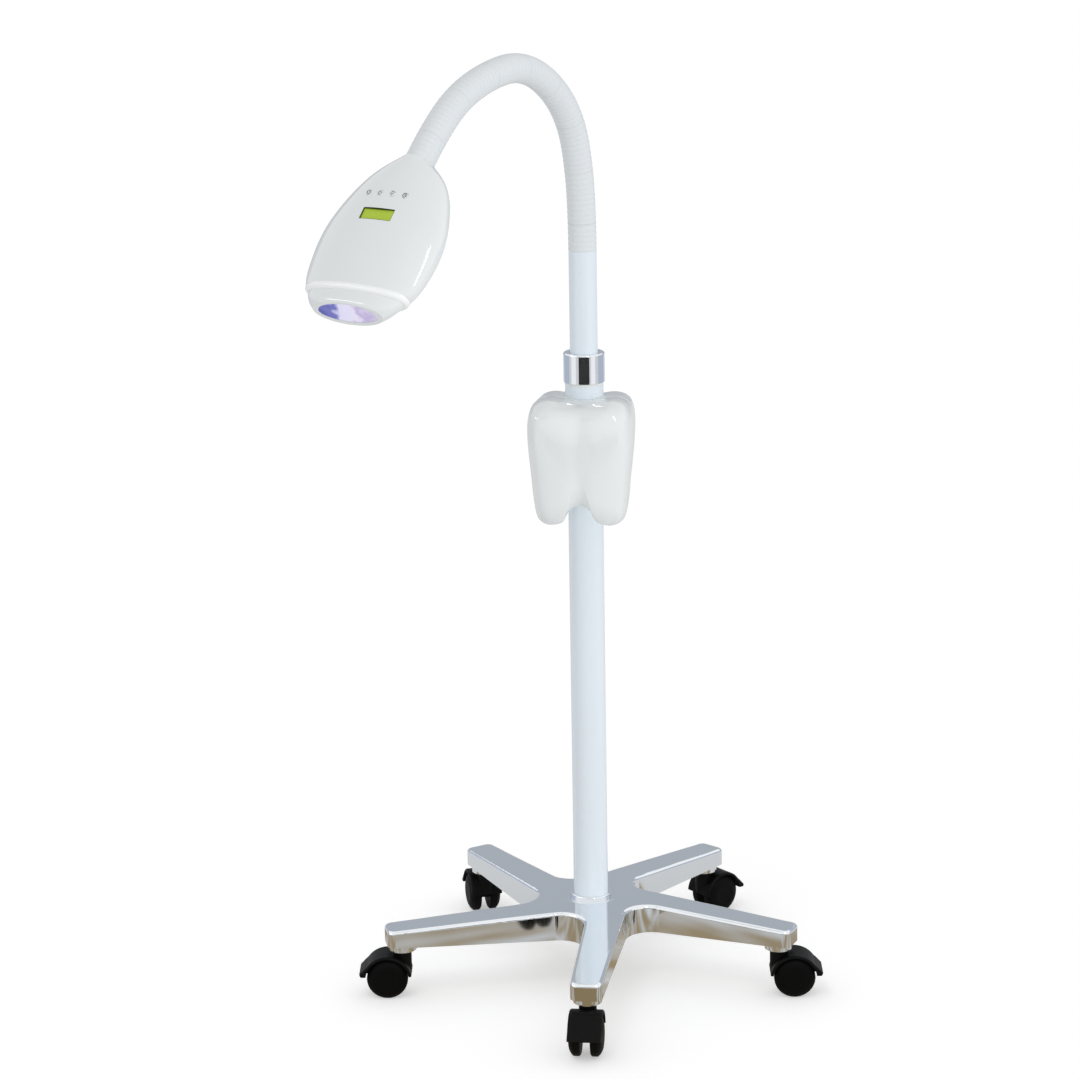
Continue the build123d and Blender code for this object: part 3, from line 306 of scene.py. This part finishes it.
def add_object(name, vertices, faces, material, smooth=True):
    """New mesh piece from vertices in millimetres."""
    mesh = bpy.data.meshes.new(name)
    mesh.from_pydata([tuple(Vector(v) * MM) for v in vertices], [], faces)
    mesh.validate()
    if smooth:
        mesh.polygons.foreach_set("use_smooth", [True] * len(mesh.polygons))
    mesh.materials.append(material)
    piece = bpy.data.objects.new(name, mesh)
    bpy.context.scene.collection.objects.link(piece)
    return piece


def loop_faces(rings, sides, closed):
    """Quads between rings of vertices, and from the last back to the first if closed."""
    faces = []
    last = rings if closed else rings - 1
    for r in range(last):
        low = r * sides
        high = (r + 1) % rings * sides
        for k in range(sides):
            after = (k + 1) % sides
            faces.append((low + k, low + after, high + after, high + k))
    return faces


def make_sleeve(name, s_low, s_high):
    """Closed tube along the gooseneck with ribs outside and a plain bore."""
    steps = round((s_high - s_low) / RIB_PITCH * RIB_STEPS)
    stations = [s_low + (s_high - s_low) * n / steps for n in range(steps + 1)]
    vertices = []
    outer = [(s, rib_radius(s)) for s in stations]
    inner = [(s, SLEEVE_BORE) for s in reversed(stations[:: RIB_STEPS // 2])]
    for s, radius in outer + inner:
        point, angle = along_gooseneck(s)
        across = arch_direction(angle).cross(LATERAL)
        for k in range(SLEEVE_SIDES):
            a = 2 * math.pi * k / SLEEVE_SIDES
            vertices.append(point + LATERAL * (radius * math.cos(a)) + across * (radius * math.sin(a)))
    rings = len(outer) + len(inner)
    faces = loop_faces(rings, SLEEVE_SIDES, True)
    return add_object(name, vertices, faces, MATERIALS["gooseneck_white"])


for n in range(len(LINK_TURNS)):
    low = -LINK_GAP / 2 if n == 0 else (n - 0.5) * LINK_LENGTH
    sleeve = make_sleeve(f"gooseneck_sleeve_{n + 1}", low, (n + 0.5) * LINK_LENGTH)
    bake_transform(sleeve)
    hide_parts(f"gooseneck_link_{n + 1}")
gooseneck_length = len(LINK_TURNS) * LINK_LENGTH
sleeve_end = make_sleeve(
    "gooseneck_sleeve_end", gooseneck_length - LINK_LENGTH / 2, gooseneck_length
)
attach(sleeve_end, "head")

# Marks on the buttons: thin raised strokes for power, up, down and timer. The buttons' places
# along and across the head, the rise and half width of its crown there, and how far they stand out
BUTTON_S = 58.0
BUTTON_PLACES = (-24.0, -8.0, 8.0, 24.0)
BUTTON_CROWN = 27.4
BUTTON_HALF_WIDTH = 66.0
BUTTON_PROUD = 1.0
MARK_HALF_HEIGHT = 0.12
MARK_WIDTH = 0.85
MARK_SCALE = 1.25
STROKE_CORNERS = 4
HEAD_AXIS = arch_direction(neck_angle)
PANEL_AXIS = HEAD_AXIS.cross(LATERAL)


def circle_points(radius, start, end, steps):
    """Points along an arc, in degrees."""
    turns = [math.radians(start + (end - start) * n / steps) for n in range(steps + 1)]
    return [(radius * math.cos(a), radius * math.sin(a)) for a in turns]


MARKS = (
    [circle_points(1.8, 125, 415, 18), [(0, 0.4), (0, 2.4)]],
    [[(-1.9, -0.9), (0, 1.4), (1.9, -0.9)], [(-1.3, -2.0), (1.3, -2.0)]],
    [[(-1.9, 0.9), (0, -1.4), (1.9, 0.9)], [(-1.3, 2.0), (1.3, 2.0)]],
    [circle_points(2.0, 0, 360, 20), [(0, 1.2), (0, 0), (1.0, -0.6)]],
)


def make_mark(name, strokes, centre):
    """Raised strokes on a plane square to the panel; x runs along the arm's lateral."""
    vertices = []
    faces = []
    for stroke in strokes:
        first = len(vertices)
        for n, (x, y) in enumerate(stroke):
            before = Vector(stroke[max(n - 1, 0)])
            after = Vector(stroke[min(n + 1, len(stroke) - 1)])
            run = (after - before).normalized()
            side = Vector((-run.y, run.x)) * (MARK_WIDTH / 2)
            for level in (-MARK_HALF_HEIGHT, MARK_HALF_HEIGHT):
                for sign in (1, -1):
                    u = x * MARK_SCALE + side.x * sign
                    v = y * MARK_SCALE + side.y * sign
                    vertices.append(centre + LATERAL * u - HEAD_AXIS * v + PANEL_AXIS * level)
        for n in range(len(stroke) - 1):
            a = first + STROKE_CORNERS * n
            b = a + STROKE_CORNERS
            faces += [(a, a + 1, b + 1, b), (a + 2, b + 2, b + 3, a + 3)]
            faces += [(a, b, b + 2, a + 2), (a + 1, a + 3, b + 3, b + 1)]
        last = len(vertices) - STROKE_CORNERS
        faces += [(first, first + 2, first + 3, first + 1), (last, last + 1, last + 3, last + 2)]
    return add_object(name, vertices, faces, MATERIALS["mark_grey"], smooth=False)


for n, place in enumerate(BUTTON_PLACES):
    top = BUTTON_CROWN * math.sqrt(1 - (place / BUTTON_HALF_WIDTH) ** 2) + BUTTON_PROUD
    centre = neck_point + HEAD_AXIS * BUTTON_S + LATERAL * place + PANEL_AXIS * top
    mark = make_mark(f"button_{n + 1}_mark", MARKS[n], centre)
    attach(mark, f"button_{n + 1}")


# Front of the molar-shaped housing as one smooth moulding: the right half of its outline at the
# parting, which is the model's own, and further forward, and the outline's scale at each depth
MOLAR_MIDDLE_Z = 660.0
MOLAR_HALF = (
    (0, 730), (20, 732), (40, 734.5), (55, 728.5), (61.5, 712), (62, 686), (58.5, 645),
    (55, 612), (51, 591), (41, 581.5), (30, 582.5), (20, 591), (11, 602), (0, 606),
)
MOLAR_FRONT_HALF = (
    (0, 730), (20, 732), (40, 734.5), (55, 728.5), (61.5, 712), (62, 686), (58.5, 645),
    (55.5, 614), (51, 593.5), (42, 586), (30, 585.5), (21, 589), (14, 602), (0, 609.5),
)
MOLAR_FULL_DEPTH = 60.0
MOLAR_PROFILE = (
    (24, 0.975), (45, 1.0), (63, 0.985), (76, 0.93), (84, 0.83), (88, 0.68), (90, 0.47),
    (90.6, 0.25), (90.7, 0.0),
)
MOLAR_WALL = 2.5
MOLAR_HALF_WIDTH = 62.5
OUTLINE_STEPS = 10
PROFILE_STEPS = 5
PROFILE_UNIT = 100.0
GROOVE_DEPTH = 3.2
GROOVE_WIDTH = 11.0
GROOVE_FADE = 6


def smooth_run(points, steps, closed):
    """Points along a smooth curve through the given ones."""
    count = len(points)
    spots = [np.array(p, dtype=float) for p in points]
    run = []
    for n in range(count if closed else count - 1):
        if closed:
            before, a, b, after = (spots[(n + k) % count] for k in (-1, 0, 1, 2))
        else:
            before, a, b, after = (spots[min(max(n + k, 0), count - 1)] for k in (-1, 0, 1, 2))
        gap = np.linalg.norm(b - a)
        slope_a = (b - before) * gap / max(np.linalg.norm(b - a) + np.linalg.norm(a - before), gap)
        slope_b = (after - a) * gap / max(np.linalg.norm(after - b) + np.linalg.norm(b - a), gap)
        for k in range(steps):
            t = k / steps
            run.append(
                a * (2 * t ** 3 - 3 * t ** 2 + 1) + slope_a * (t ** 3 - 2 * t ** 2 + t)
                + b * (3 * t ** 2 - 2 * t ** 3) + slope_b * (t ** 3 - t ** 2)
            )
    if not closed:
        run.append(spots[-1])
    return run


def groove_depth(across, scale):
    """How far the front sinks at a distance from its middle; nothing at the parting."""
    return GROOVE_DEPTH * (1 - scale ** GROOVE_FADE) * math.exp(-((across / GROOVE_WIDTH) ** 2))


def molar_outline(half):
    """Whole outline from its right half."""
    left = tuple((-x, z) for x, z in reversed(half[1:-1]))
    return smooth_run(half + left, OUTLINE_STEPS, True)


def make_molar_front():
    """Bowl from the parting plane to the front, with a soft upright groove."""
    parting = molar_outline(MOLAR_HALF)
    front_outline = molar_outline(MOLAR_FRONT_HALF)
    first_depth = MOLAR_PROFILE[0][0]
    tip_depth = MOLAR_PROFILE[-1][0]
    in_units = [(depth / PROFILE_UNIT, scale) for depth, scale in MOLAR_PROFILE]
    smoothed = smooth_run(in_units, PROFILE_STEPS, False)
    profile = [(depth * PROFILE_UNIT, scale) for depth, scale in smoothed]
    rings = [(depth, scale, 0.0) for depth, scale in profile[:-1]]
    rings += [(depth, scale, MOLAR_WALL) for depth, scale in reversed(profile[:-1])]
    vertices = []
    for depth, scale, wall in rings:
        inner = scale * (1 - wall / MOLAR_HALF_WIDTH)
        kept = depth if depth == first_depth else depth - wall
        share = min(1.0, (depth - first_depth) / (MOLAR_FULL_DEPTH - first_depth))
        for x, z in (a + (b - a) * share for a, b in zip(parting, front_outline)):
            across = x * inner
            high = MOLAR_MIDDLE_Z + (z - MOLAR_MIDDLE_Z) * inner
            vertices.append((across, groove_depth(across, scale) - kept, high))
    sides = len(parting)
    half = len(rings) // 2
    faces = loop_faces(half, sides, False)
    faces += [[v + half * sides for v in face] for face in loop_faces(half, sides, False)]
    tip, wall_tip = len(vertices), len(vertices) + 1
    vertices.append((0, GROOVE_DEPTH - tip_depth, MOLAR_MIDDLE_Z))
    vertices.append((0, GROOVE_DEPTH + MOLAR_WALL - tip_depth, MOLAR_MIDDLE_Z))
    front = (half - 1) * sides
    back = (2 * half - 1) * sides
    for k in range(sides):
        after = (k + 1) % sides
        faces.append((front + k, front + after, tip))
        faces.append((half * sides + after, half * sides + k, wall_tip))
        faces.append((back + k, back + after, after, k))
    return add_object("molar_front", vertices, faces, MATERIALS["white_shell"])


# Rounded lip round the open end of the head's shells, in a paler white that is a painted highlight:
# its place along the head, and the shells' half width, rise and drop there
LIP_S = 171.0
LIP_SECTION = (67.2, 20.2, 27.2)
LIP_RADIUS = 5.0
LIP_INSET = 4.1
LIP_STEPS = 120
LIP_SIDES = 14


def make_lip():
    """Bead along the egg-shaped edge of the shells, mostly sunk in them, in a paler white that paints
    a highlight.
    """
    half_width, high, low = (size - LIP_INSET for size in LIP_SECTION)
    vertices = []
    for n in range(LIP_STEPS):
        a = 2 * math.pi * n / LIP_STEPS
        rise = high if math.sin(a) > 0 else low
        spot = LATERAL * (half_width * math.cos(a)) + PANEL_AXIS * (rise * math.sin(a))
        out = LATERAL * (rise * math.cos(a)) + PANEL_AXIS * (half_width * math.sin(a))
        out = out.normalized()
        for k in range(LIP_SIDES):
            b = 2 * math.pi * k / LIP_SIDES
            ring = out * (LIP_RADIUS * math.cos(b)) + HEAD_AXIS * (LIP_RADIUS * math.sin(b))
            vertices.append(neck_point + HEAD_AXIS * LIP_S + spot + ring)
    faces = loop_faces(LIP_STEPS, LIP_SIDES, True)
    return add_object("head_lip", vertices, faces, MATERIALS["lip_painted_highlight"])


molar_front = make_molar_front()
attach(molar_front, "stand")
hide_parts("tooth_front_shell")

lip = make_lip()
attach(lip, "head")

# Dark wall round the display's recess, down to the glass, as painted shade in the recess: its place
# along the head, its outer and inner half sizes, and the crown that its top follows
LINING_S = 85.0
LINING_OUTER = (21.25, 7.75)
LINING_INNER = (20.3, 6.8)
LINING_LOW = 25.16
LINING_CROWN = 27.45
LINING_HALF_WIDTH = 74.6
LINING_STEPS = 12


def rectangle_points(half_x, half_s, steps):
    """Points round a rectangle, with extra ones along its long sides."""
    run = [half_x * (2 * n / steps - 1) for n in range(steps + 1)]
    return [(x, -half_s) for x in run] + [(x, half_s) for x in reversed(run)]


def make_recess_painted_shade():
    """Low dark wall round the display that follows the shell's crown: painted shade in the recess."""
    outer = rectangle_points(*LINING_OUTER, LINING_STEPS)
    inner = rectangle_points(*LINING_INNER, LINING_STEPS)
    vertices = []
    loops = ((outer, False), (outer, True), (inner, True), (inner, False))
    for loop, at_top in loops:
        for x, s in loop:
            crown = LINING_CROWN * math.sqrt(1 - (x / LINING_HALF_WIDTH) ** 2)
            rise = crown if at_top else LINING_LOW
            vertices.append(
                neck_point + HEAD_AXIS * (LINING_S + s) + LATERAL * x + PANEL_AXIS * rise
            )
    faces = loop_faces(len(loops), len(outer), True)
    return add_object("display_recess_painted_shade", vertices, faces, MATERIALS["recess_painted_shade"], smooth=False)


recess_shade = make_recess_painted_shade()
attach(recess_shade, "head")

# Lights, floor and cards, in metres
WORLD_LIGHT = 0.66
FLOOR_SIZE = 40.0
FLOOR_SHADE = 0.8
FLOOR_GLOW = 0.42
FLOOR_GLOW_MIRRORED = 0.08
CARD_AIM = Vector((0, 0, 0.3))
CORNER_SIGNS = ((-1, -1), (1, -1), (1, 1), (-1, 1))
BAND_SCALE = 7.0
BAND_DETAIL = 2.0
BAND_STRETCH = (0.6, 2.2, 1)
BAND_CONTRAST = (-1.2, 1.8)


def make_floor():
    """Large pale floor: white to the camera, with the object's soft shadow."""
    mesh = bpy.data.meshes.new("floor")
    corners = [(x * FLOOR_SIZE, y * FLOOR_SIZE, 0) for x, y in CORNER_SIGNS]
    mesh.from_pydata(corners, [], [(0, 1, 2, 3)])
    floor = bpy.data.objects.new("floor", mesh)
    bpy.context.scene.collection.objects.link(floor)
    material = bpy.data.materials.new("floor_white")
    tree, output = node_tree(material)
    shade = tree.nodes.new("ShaderNodeBsdfDiffuse")
    shade.inputs["Color"].default_value = (FLOOR_SHADE, FLOOR_SHADE, FLOOR_SHADE, 1)
    glow = tree.nodes.new("ShaderNodeEmission")
    glow.inputs["Color"].default_value = (1, 1, 1, 1)
    seen_direct = ("Is Camera Ray", "Is Transmission Ray")
    level = ray_level(tree, seen_direct, FLOOR_GLOW_MIRRORED, FLOOR_GLOW)
    tree.links.new(level, glow.inputs["Strength"])
    both = tree.nodes.new("ShaderNodeAddShader")
    tree.links.new(shade.outputs["BSDF"], both.inputs[0])
    tree.links.new(glow.outputs["Emission"], both.inputs[1])
    tree.links.new(both.outputs["Shader"], output.inputs["Surface"])
    mesh.materials.append(material)


def make_world():
    """White to the camera and in reflections, and a softer level for the light it casts."""
    world = bpy.data.worlds.new("studio")
    bpy.context.scene.world = world
    world.use_nodes = True
    tree = world.node_tree
    tree.nodes.clear()
    output = tree.nodes.new("ShaderNodeOutputWorld")
    back = tree.nodes.new("ShaderNodeBackground")
    back.inputs["Color"].default_value = (1, 1, 1, 1)
    seen = ("Is Camera Ray", "Is Transmission Ray", "Is Glossy Ray")
    tree.links.new(ray_level(tree, seen, WORLD_LIGHT, 1.0), back.inputs["Strength"])
    tree.links.new(back.outputs["Background"], output.inputs["Surface"])


def make_lamp(name, towards, strength, angle, fill=False):
    """Distant soft lamp without a highlight, which the cards give; a fill has no shadow."""
    light = bpy.data.lights.new(name, "SUN")
    light.energy = strength
    light.angle = math.radians(angle)
    light.use_shadow = not fill
    lamp = bpy.data.objects.new(name, light)
    lamp.rotation_mode = "QUATERNION"
    lamp.rotation_quaternion = Vector(towards).to_track_quat("-Z", "Y")
    lamp.visible_glossy = False
    bpy.context.scene.collection.objects.link(lamp)


def make_card(name, centre, size, shade, flat=False, strength=1.0, second_shade=None):
    """Studio card that only reflections see; a second shade gives it cloudy bands."""
    centre = Vector(centre)
    half_w, half_h = size[0] / 2, size[1] / 2
    if flat:
        side, rise = Vector((1, 0, 0)), Vector((0, 1, 0))
    else:
        to_lamp = (CARD_AIM - centre).normalized()
        side = to_lamp.cross(UP).normalized()
        rise = side.cross(to_lamp)
    corners = [centre + side * (a * half_w) + rise * (b * half_h) for a, b in CORNER_SIGNS]
    mesh = bpy.data.meshes.new(name)
    mesh.from_pydata([tuple(c) for c in corners], [], [(0, 1, 2, 3)])
    card = bpy.data.objects.new(name, mesh)
    bpy.context.scene.collection.objects.link(card)
    material = bpy.data.materials.new(name)
    tree, output = node_tree(material)
    glow = tree.nodes.new("ShaderNodeEmission")
    glow.inputs["Color"].default_value = (*shade, 1)
    glow.inputs["Strength"].default_value = strength
    if second_shade:
        bands = add_noise(tree, BAND_SCALE, BAND_DETAIL, BAND_STRETCH)
        share = spread(tree, bands, *BAND_CONTRAST)
        tree.links.new(mix_colours(tree, share, shade, second_shade), glow.inputs["Color"])
    tree.links.new(glow.outputs["Emission"], output.inputs["Surface"])
    mesh.materials.append(material)
    card.visible_camera = False
    card.visible_diffuse = False
    card.visible_transmission = False
    card.visible_shadow = False


def make_camera():
    """The photograph's camera, with the whole lamp in the frame."""
    forward = Vector((
        math.sin(CAMERA_YAW) * math.cos(CAMERA_PITCH),
        math.cos(CAMERA_YAW) * math.cos(CAMERA_PITCH),
        -math.sin(CAMERA_PITCH),
    ))
    right = Vector((math.cos(CAMERA_YAW), -math.sin(CAMERA_YAW), 0))
    above = right.cross(forward)
    turned_right = right * math.cos(CAMERA_ROLL) + above * math.sin(CAMERA_ROLL)
    turned_up = above * math.cos(CAMERA_ROLL) - right * math.sin(CAMERA_ROLL)
    data = bpy.data.cameras.new("camera")
    data.lens = CAMERA_LENS
    data.sensor_width = CAMERA_SENSOR
    camera = bpy.data.objects.new("camera", data)
    axes = Matrix((turned_right, turned_up, -forward)).transposed()
    camera.matrix_world = Matrix.Translation(CAMERA_AT) @ axes.to_4x4()
    bpy.context.scene.collection.objects.link(camera)
    bpy.context.scene.camera = camera


make_floor()
make_world()
make_lamp("key", towards=(0.2, 0.5, -1.0), strength=0.25, angle=20)
make_lamp("fill_right", towards=(-0.8, 0.6, -0.02), strength=1.15, angle=12, fill=True)
make_lamp("fill_left", towards=(0.85, 0.5, -0.02), strength=0.4, angle=12, fill=True)

# Dark band in the middle of the collar, and pale bands beside it
make_card("card_front", centre=(0.2, -2.0, 0.31), size=(2.3, 0.27), shade=(0.03, 0.03, 0.03))
make_card("card_bright_left", centre=(-2.1, -1.5, 0.36), size=(1.3, 0.8), shade=(0.95, 0.95, 0.97))
make_card("card_bright_right", centre=(2.4, -1.5, 0.36), size=(1.3, 0.8), shade=(0.95, 0.95, 0.97))

# Grey on the tops of the base's arms, and blue grey on the collar's edges
make_card("card_back", centre=(0, 5.0, 1.55), size=(14.0, 2.9), shade=(0.43, 0.46, 0.50))
make_card("card_side_left", centre=(-2.4, 0.9, 0.5), size=(2.6, 1.2), shade=(0.46, 0.51, 0.62))
make_card("card_side_right", centre=(2.3, 1.2, 0.5), size=(2.6, 1.2), shade=(0.46, 0.51, 0.62))

# Narrow highlight along the lamp head's side, and one on the head's lip
make_card("card_strip", centre=(1.13, -1.94, 2.46), size=(0.2, 1.2), shade=(1, 1, 1), strength=12.0)
make_card("card_lip", centre=(-2.8, -1.4, 2.1), size=(1.8, 0.3), shade=(1, 1, 1), strength=6.0)

# Brown and silver streaks on the sides of the base's arms, and brown on the front arm's end
make_card(
    "card_table",
    centre=(0, -0.5, 0.002),
    size=(1.9, 1.25),
    shade=(0.33, 0.26, 0.16),
    flat=True,
    second_shade=(0.66, 0.69, 0.73),
)
make_card(
    "card_facet",
    centre=(-0.03, -0.53, 0.004),
    size=(0.3, 0.34),
    shade=(0.26, 0.2, 0.11),
    flat=True,
)
make_camera()
bpy.context.scene.view_settings.view_transform = "Standard"
